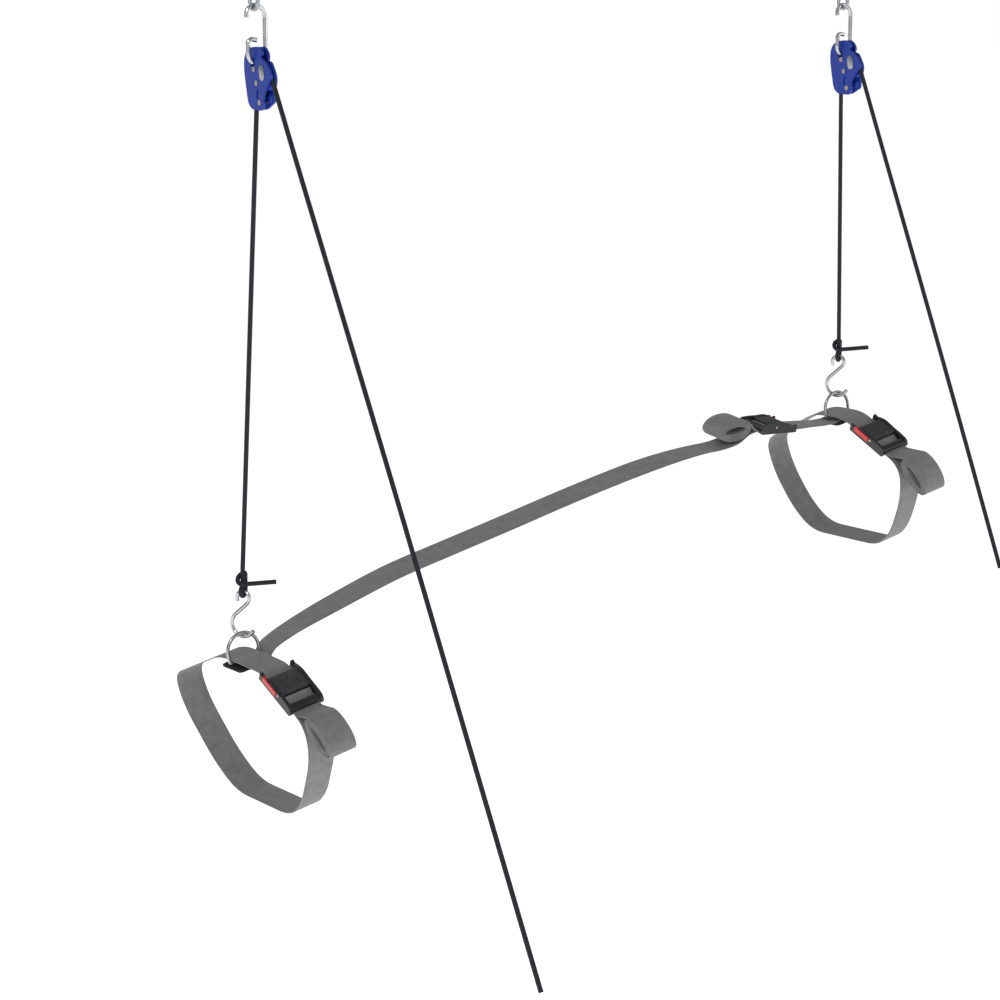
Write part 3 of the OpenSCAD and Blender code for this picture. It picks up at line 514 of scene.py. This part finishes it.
def weave_group():
    """Crossing ribs of a woven band, from UVs in metres."""
    tree, given, result = group(
        "Webbing weave", [("Rib pitch", 0.0024), ("Cord pitch", 0.0030)], "Shade")
    along, across = lay_of(tree)
    cord = maths(tree, "DIVIDE", across, given.outputs["Cord pitch"])
    offset = maths(tree, "MULTIPLY", maths(tree, "PINGPONG", cord, 1.0), 0.5)
    rib = maths(tree, "ADD", maths(tree, "DIVIDE", along, given.outputs["Rib pitch"]), offset)
    height = maths(tree, "MULTIPLY", maths(tree, "POWER", ridges(tree, cord), 0.6),
                   maths(tree, "POWER", ridges(tree, rib), 0.5))
    tree.links.new(height, result.inputs["Height"])
    noise = tree.nodes.new("ShaderNodeTexNoise")
    noise.inputs["Scale"].default_value = 60
    noise.inputs["Detail"].default_value = 5
    place = tree.nodes.new("ShaderNodeNewGeometry")
    tree.links.new(place.outputs["Position"], noise.inputs["Vector"])
    shade = maths(tree, "ADD", maths(tree, "MULTIPLY", height, 0.45),
                  maths(tree, "MULTIPLY", noise.outputs["Fac"], 0.7))
    tree.links.new(shade, result.inputs["Shade"])
    return tree


def braid_group():
    """Strands of a round braided cover that cross each other, from UVs."""
    tree, given, result = group(
        "Braided cover", [("Strands", 8.0), ("Lay length", 0.022)], "Shade")
    along, around = lay_of(tree)
    strands = given.outputs["Strands"]
    turn = maths(tree, "MULTIPLY", around, strands)
    run = maths(tree, "MULTIPLY", maths(tree, "DIVIDE", along, given.outputs["Lay length"]),
                strands)
    height = maths(tree, "MULTIPLY", ridges(tree, maths(tree, "ADD", turn, run)),
                   ridges(tree, maths(tree, "SUBTRACT", turn, run)))
    tree.links.new(maths(tree, "POWER", height, 0.5), result.inputs["Height"])
    tree.links.new(height, result.inputs["Shade"])
    return tree


def grain_group():
    """Fine moulded or worn grain, in places of the object."""
    tree, given, result = group("Fine grain", [("Scale", 900.0), ("Patches", 25.0)], "Wear")
    place = tree.nodes.new("ShaderNodeTexCoord")
    fine = tree.nodes.new("ShaderNodeTexNoise")
    fine.inputs["Detail"].default_value = 3
    wide = tree.nodes.new("ShaderNodeTexNoise")
    wide.inputs["Detail"].default_value = 6
    for noise, scale in ((fine, "Scale"), (wide, "Patches")):
        tree.links.new(place.outputs["Object"], noise.inputs["Vector"])
        tree.links.new(given.outputs[scale], noise.inputs["Scale"])
    tree.links.new(fine.outputs["Fac"], result.inputs["Height"])
    tree.links.new(wide.outputs["Fac"], result.inputs["Wear"])
    return tree


def stipple_group():
    """Raised dots of a gripping surface."""
    tree, given, result = group("Grip stipple", [("Dots", 520.0)], "Wear")
    place = tree.nodes.new("ShaderNodeTexCoord")
    dots = tree.nodes.new("ShaderNodeTexVoronoi")
    tree.links.new(place.outputs["Object"], dots.inputs["Vector"])
    tree.links.new(given.outputs["Dots"], dots.inputs["Scale"])
    tree.links.new(maths(tree, "SUBTRACT", 1.0, dots.outputs["Distance"]), result.inputs["Height"])
    tree.links.new(dots.outputs["Color"], result.inputs["Wear"])
    return tree


GROUPS = {}


def principled(material):
    """The material's shader."""
    material.use_nodes = True
    return next(n for n in material.node_tree.nodes if n.type == "BSDF_PRINCIPLED")


def finish(name, colour, rough, metal=0.0, effect="grain", values=(), spread=0.12,
           rough_spread=0.12, bump=0.15, depth=0.0002, coat=0.0, sheen=0.0):
    """A material whose effect varies its colour and roughness and raises its surface."""
    made = bpy.data.materials.new(name)
    shader = principled(made)
    tree = made.node_tree
    shader.inputs["Metallic"].default_value = metal
    shader.inputs["Coat Weight"].default_value = coat
    shader.inputs["Coat Roughness"].default_value = 0.2
    shader.inputs["Sheen Weight"].default_value = sheen
    shader.inputs["Sheen Roughness"].default_value = 0.5
    effect_node = tree.nodes.new("ShaderNodeGroup")
    effect_node.node_tree = GROUPS[effect]
    for socket, value in values:
        effect_node.inputs[socket].default_value = value
    mask = effect_node.outputs[1]
    ramp = tree.nodes.new("ShaderNodeMix")
    ramp.data_type = "RGBA"
    ramp.inputs["A"].default_value = (*[c * (1 - spread * 2) for c in colour], 1)
    ramp.inputs["B"].default_value = (*[min(c * (1 + spread * 2), 1) for c in colour], 1)
    tree.links.new(mask, ramp.inputs["Factor"])
    tree.links.new(ramp.outputs["Result"], shader.inputs["Base Color"])
    rough_mask = maths(tree, "ADD", maths(tree, "MULTIPLY", mask, rough_spread),
                       rough - rough_spread / 2)
    tree.links.new(rough_mask, shader.inputs["Roughness"])
    raise_node = tree.nodes.new("ShaderNodeBump")
    raise_node.inputs["Strength"].default_value = bump
    raise_node.inputs["Distance"].default_value = depth
    tree.links.new(effect_node.outputs["Height"], raise_node.inputs["Height"])
    tree.links.new(raise_node.outputs[0], shader.inputs["Normal"])
    return made


FINISHES = {}


def give(obj, slot):
    """The piece gets the finish of a slot of the record."""
    obj.data.materials.clear()
    obj.data.materials.append(FINISHES[slot])


class HOIST_OT_finishes(bpy.types.Operator):
    """Makes the hoist's finishes and gives the hard pieces theirs"""
    bl_idname = "hoist.finishes"
    bl_label = "Finishes and hard pieces"

    def execute(self, context):
        colours = context.scene.hoist_colours
        sizes = context.scene.hoist_sizes
        GROUPS.update(weave=weave_group(), braid=braid_group(), grain=grain_group(),
                      stipple=stipple_group())
        FINISHES.update(
            zinc_steel=finish("Zinc plated screw eye", (0.40, 0.42, 0.43), 0.34, 1.0,
                              values=[("Scale", 600.0), ("Patches", 60.0)], bump=0.08),
            hook_wire=finish("Nickel plated wire", (0.56, 0.56, 0.57), 0.2, 1.0,
                             values=[("Scale", 400.0), ("Patches", 40.0)], spread=0.06,
                             rough_spread=0.10, bump=0.03),
            blue_plastic=finish("Blue moulded block", colours.block, 0.46,
                                values=[("Scale", 1400.0), ("Patches", 30.0)], spread=0.10,
                                bump=0.12, depth=0.0001),
            rivet_steel=finish("Bright rivets and pins", (0.46, 0.40, 0.36), 0.3, 1.0,
                               values=[("Scale", 700.0), ("Patches", 120.0)], bump=0.05),
            sheave_plastic=finish("Dark nylon wheel", (0.05, 0.05, 0.055), 0.5, bump=0.1),
            rope=finish("Black braided cover", colours.rope, 0.62, effect="braid", spread=0.42,
                        rough_spread=0.16, bump=0.85, depth=0.0006),
            ring_steel=finish("Plated ring wire", (0.42, 0.42, 0.42), 0.3, 1.0,
                              values=[("Scale", 500.0), ("Patches", 50.0)], bump=0.06),
            webbing=finish("Grey woven webbing", colours.webbing, 0.82, effect="weave",
                           spread=0.24, bump=0.7, depth=0.0005, sheen=0.2),
            # Black sheets that paint the shadow in the gap under the tented straps
            pad_foam=finish("Black painted shadow sheet", colours.buckle, 0.85,
                            values=[("Scale", 700.0), ("Patches", 60.0)], spread=0.25, bump=0.4),
            buckle_plastic=finish("Black satin buckle", colours.buckle, 0.42,
                                  values=[("Scale", 1300.0), ("Patches", 35.0)], spread=0.2,
                                  bump=0.1, depth=0.0001),
            lid_plastic=finish("Stippled buckle lid", (0.03, 0.031, 0.033), 0.55, effect="stipple",
                               spread=0.4, rough_spread=0.2, bump=0.9, depth=0.0006),
            button_plastic=finish("Red release button", colours.button, 0.3,
                                  values=[("Scale", 900.0), ("Patches", 40.0)], spread=0.08,
                                  bump=0.04, coat=0.2),
        )
        moulded = {"blue_plastic", "buckle_plastic", "lid_plastic", "button_plastic"}
        for name, obj in frame["nodes"].items():
            slot = SLOT_OF[name]
            for k in range(max(len(obj.material_slots), 1)):
                if obj.material_slots:
                    obj.material_slots[k].material = FINISHES[slot]
                else:
                    obj.data.materials.append(FINISHES[slot])
            if slot in moulded and not name.endswith("_button"):
                edge = obj.modifiers.new("Moulded edge", "BEVEL")
                edge.width = sizes.soft_edge
                edge.segments = 2
                edge.limit_method = "ANGLE"
                edge.angle_limit = math.radians(35)
        return {"FINISHED"}


class HOIST_OT_ropes(bpy.types.Operator):
    """Makes the pull ropes, the load ropes and the rope in the blocks"""
    bl_idname = "hoist.ropes"
    bl_label = "Ropes"

    def execute(self, context):
        wide = context.scene.hoist_sizes.rope_diameter
        for side in HANGERS:
            route = spaced(pull_route(side), 50)
            pull = rope_piece(side + "_pull_line", spaced(pull_route(side), 12), wide, step=12)
            give(pull, "rope")
            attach(pull, side + "_block")
            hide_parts(side + "_pull_rope")
            turn = rope_piece(side + "_turn_line", turn_route(side), wide, step=2)
            give(turn, "rope")
            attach(turn, side + "_block")
            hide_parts(side + "_rope_turn")
            top = HANGERS[side] + Vector((BLOCK_X, -LOAD_W, LOAD_TOP))
            low = Vector((BASES[side].x, 0, KNOT_TOP[side]))
            load = rope_piece(side + "_load_line", [top, low], wide, step=12)
            give(load, "rope")
            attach(load, side + "_block")
            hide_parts(side + "_load_rope")
            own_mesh(load)
        return {"FINISHED"}


class HOIST_OT_knots(bpy.types.Operator):
    """Makes the knots that hold the S-hooks"""
    bl_idname = "hoist.knots"
    bl_label = "Knots"

    def execute(self, context):
        wide = context.scene.hoist_sizes.rope_diameter
        for side in HANGERS:
            base = BASES[side] + Vector((0, 0, S_TOP))
            height = KNOT_TOP[side] - base.z - S_WIRE / 2
            route = [base + p for p in smooth_line(knot_route(height), 5)]
            knot = rope_piece(side + "_knot_line", route, wide, sides=16, step=2)
            give(knot, "rope")
            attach(knot, side + "_lift")
            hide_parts(side + "_knot")
        return {"FINISHED"}


class HOIST_OT_webbing(bpy.types.Operator):
    """Makes the two girths and the deck strap"""
    bl_idname = "hoist.webbing"
    bl_label = "Girths and deck strap"

    def execute(self, context):
        sizes = context.scene.hoist_sizes
        hull_x = (TO_HULL.to_3x3() @ Vector((1, 0, 0))).normalized()
        for side, girth in (("bow", BOW_GIRTH), ("stern", STERN_GIRTH)):
            line = [in_hull(girth["centre"], p.x, p.y) for p in girth_line(girth)]
            line = spaced(line, 5, closed=True)
            across = [hull_x] * len(line)
            strap = web_piece(side + "_girth_strap", line, across, outwards(line, across, True),
                              sizes.web_width, sizes.web_thickness, closed=True)
            give(strap, "webbing")
            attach(strap, "harness")
            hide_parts(side + "_girth")
        route = [Vector((s * SPAN / DECK_SPAN, up, DECK_TWIST * share))
                 for (s, up), share in zip(DECK_ROUTE, DECK_TWIST_SHARES)]
        fine = spaced(smooth_line(route, 6), 6)
        points = [TO_HULL @ Vector((p.x, 0, p.y)) for p in fine]
        turn = TO_HULL.to_3x3()
        across = [turn @ Vector((0, math.cos(math.radians(p.z)), math.sin(math.radians(p.z))))
                  for p in fine]
        strap = web_piece("deck_webbing", points, across, outwards(points, across),
                          sizes.web_width, sizes.web_thickness)
        give(strap, "webbing")
        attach(strap, "harness")
        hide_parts("deck_strap")
        return {"FINISHED"}


class HOIST_OT_rolls(bpy.types.Operator):
    """Makes the rolled tails of the webbing"""
    bl_idname = "hoist.rolls"
    bl_label = "Rolled tails"

    def execute(self, context):
        sizes = context.scene.hoist_sizes
        for side, (centre, lean) in ROLLS.items():
            place = buckle_frame(side)
            line = [place @ p for p in spaced(roll_route(centre, lean), 3)]
            across = [(place.to_3x3() @ Vector((0, 1, 0))).normalized()] * len(line)
            tail = web_piece(side + "_rolled_tail", line, across, outwards(line, across),
                             sizes.web_width, sizes.web_thickness)
            give(tail, "webbing")
            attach(tail, "harness")
            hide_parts(side + "_roll")
        return {"FINISHED"}


class HOIST_OT_shadow_sheets(bpy.types.Operator):
    """Makes the black sheets under the rings that paint the shadow in the gap under the tented
    straps
    """
    bl_idname = "hoist.pads"
    bl_label = "Painted shadow sheets"

    def execute(self, context):
        for side, s in (("bow", 0), ("stern", SPAN)):
            high = -STRAP_DEPTH - WEB_T / 2 - TURN_GAP
            low = high - SHADOW_SHEET_T
            rings = []
            for up, inset in ([(low + rise, inset) for rise, inset in SHADOW_SHEET_EDGE]
                              + [(high - rise, inset) for rise, inset in reversed(SHADOW_SHEET_EDGE)]):
                a, b = SHADOW_SHEET_HALF[0] - inset, SHADOW_SHEET_HALF[1] - inset
                ring = soften([(x, y, SHADOW_SHEET_SOFT) for x, y in ((-a, -b), (a, -b), (a, b), (-a, b))])
                rings.append([(TO_HULL @ Vector((s + p.x, p.y, up))) * MM for p in ring])
            shadow_sheet = skin(side + "_painted_shadow_sheet", rings)
            give(shadow_sheet, "pad_foam")
            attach(shadow_sheet, "harness")
            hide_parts(side + "_pad")
        return {"FINISHED"}


class HOIST_OT_badges(bpy.types.Operator):
    """Makes the bare oval plates on the blocks"""
    bl_idname = "hoist.badges"
    bl_label = "Oval plates"

    def execute(self, context):
        for side in HANGERS:
            cheek = frame["nodes"][side + "_front_cheek"]
            places = [cheek.matrix_world @ v.co for v in cheek.data.vertices]
            face = min(p.x for p in places)
            oval = {(round(p.y, 6), round(p.z, 6)) for p in places
                    if p.x < face + FACE_TOLERANCE}
            mid = Vector((0, sum(y for y, _ in oval) / len(oval),
                          sum(z for _, z in oval) / len(oval)))
            oval = sorted(oval, key=lambda yz: -math.atan2(yz[1] - mid.z, yz[0] - mid.y))
            rings = []
            for out, share in PLATE_STEPS:
                flat = [mid + (Vector((0, y, z)) - mid) * share for y, z in oval]
                rings.append([Vector((face - out, p.y, p.z)) for p in flat])
            plate = skin(side + "_oval_plate", rings)
            give(plate, "ring_steel")
            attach(plate, side + "_block")
        return {"FINISHED"}


def facing(ahead):
    """The turn of a lamp or camera that looks this way."""
    return ahead.to_track_quat("-Z", "Y").to_euler()


class HOIST_OT_stage(bpy.types.Operator):
    """Makes the floor, the light and the camera"""
    bl_idname = "hoist.stage"
    bl_label = "Stage"

    def execute(self, context):
        scene = context.scene
        scene.view_settings.view_transform = "Standard"
        mesh = bpy.data.meshes.new("Floor")
        size, low = FLOOR_HALF, CAD_BOX[0][2] - FLOOR_DROP
        corners = ((-size, -size), (size, -size), (size, size), (-size, size))
        mesh.from_pydata([(x, y, low) for x, y in corners], [], [(0, 1, 2, 3)])
        floor = bpy.data.objects.new("Floor", mesh)
        scene.collection.objects.link(floor)
        pale = bpy.data.materials.new("Pale floor")
        shader = principled(pale)
        shader.inputs["Base Color"].default_value = (0.86, 0.86, 0.86, 1)
        shader.inputs["Roughness"].default_value = 0.9
        shader.inputs["Emission Color"].default_value = (1, 1, 1, 1)
        shader.inputs["Emission Strength"].default_value = 0.74
        mesh.materials.append(pale)

        world = bpy.data.worlds.new("Soft room")
        world.use_nodes = True
        tree = world.node_tree
        tree.nodes.clear()
        out = tree.nodes.new("ShaderNodeOutputWorld")
        seen = tree.nodes.new("ShaderNodeBackground")
        seen.inputs["Color"].default_value = (1, 1, 1, 1)
        lit = tree.nodes.new("ShaderNodeBackground")
        lit.inputs["Color"].default_value = (0.95, 0.97, 1, 1)
        lit.inputs["Strength"].default_value = 0.34
        rays = tree.nodes.new("ShaderNodeLightPath")
        pick = tree.nodes.new("ShaderNodeMixShader")
        tree.links.new(rays.outputs["Is Camera Ray"], pick.inputs["Fac"])
        tree.links.new(lit.outputs[0], pick.inputs[1])
        tree.links.new(seen.outputs[0], pick.inputs[2])
        tree.links.new(pick.outputs[0], out.inputs[0])
        scene.world = world

        for name, place, aim, power, wide in LAMPS:
            lamp = bpy.data.lights.new(name, "AREA")
            lamp.energy = power
            lamp.size = wide
            obj = bpy.data.objects.new(name, lamp)
            obj.location = place
            obj.rotation_euler = facing(Vector(aim) - Vector(place))
            scene.collection.objects.link(obj)

        lens = bpy.data.cameras.new("Photo view")
        lens.sensor_width = SENSOR_WIDTH
        lens.lens = SENSOR_WIDTH * FOCAL_SHARE
        lens.clip_end = 200
        camera = bpy.data.objects.new("Photo view", lens)
        camera.location = CAMERA_PLACE
        yaw, pitch = math.radians(CAMERA_YAW), math.radians(CAMERA_PITCH)
        camera.rotation_euler = facing(Vector((
            math.sin(yaw) * math.cos(pitch), math.cos(yaw) * math.cos(pitch), -math.sin(pitch))))
        scene.collection.objects.link(camera)
        scene.camera = camera
        return {"FINISHED"}


OPERATORS = (HOIST_OT_stage, HOIST_OT_finishes, HOIST_OT_ropes, HOIST_OT_knots, HOIST_OT_webbing,
             HOIST_OT_rolls, HOIST_OT_shadow_sheets, HOIST_OT_badges)


class HOIST_PT_panel(bpy.types.Panel):
    """Lists the hoist's pieces"""
    bl_idname = "HOIST_PT_panel"
    bl_label = "Kayak ceiling hoist"
    bl_space_type = "VIEW_3D"
    bl_region_type = "UI"
    bl_category = "Hoist"

    def draw(self, context):
        for group_of in (context.scene.hoist_sizes, context.scene.hoist_colours):
            for name in group_of.bl_rna.properties.keys():
                if name not in {"rna_type", "name"}:
                    self.layout.prop(group_of, name)
        for operator in OPERATORS:
            self.layout.operator(operator.bl_idname)


CLASSES = (HoistSizes, HoistColours) + OPERATORS + (HOIST_PT_panel,)


def register():
    for cls in CLASSES:
        bpy.utils.register_class(cls)
    bpy.types.Scene.hoist_sizes = bpy.props.PointerProperty(type=HoistSizes)
    bpy.types.Scene.hoist_colours = bpy.props.PointerProperty(type=HoistColours)


def unregister():
    del bpy.types.Scene.hoist_colours
    del bpy.types.Scene.hoist_sizes
    for cls in reversed(CLASSES):
        bpy.utils.unregister_class(cls)


def main():
    register()
    for operator in OPERATORS:
        family, name = operator.bl_idname.split(".")
        getattr(getattr(bpy.ops, family), name)()


if __name__ == "__main__":
    main()
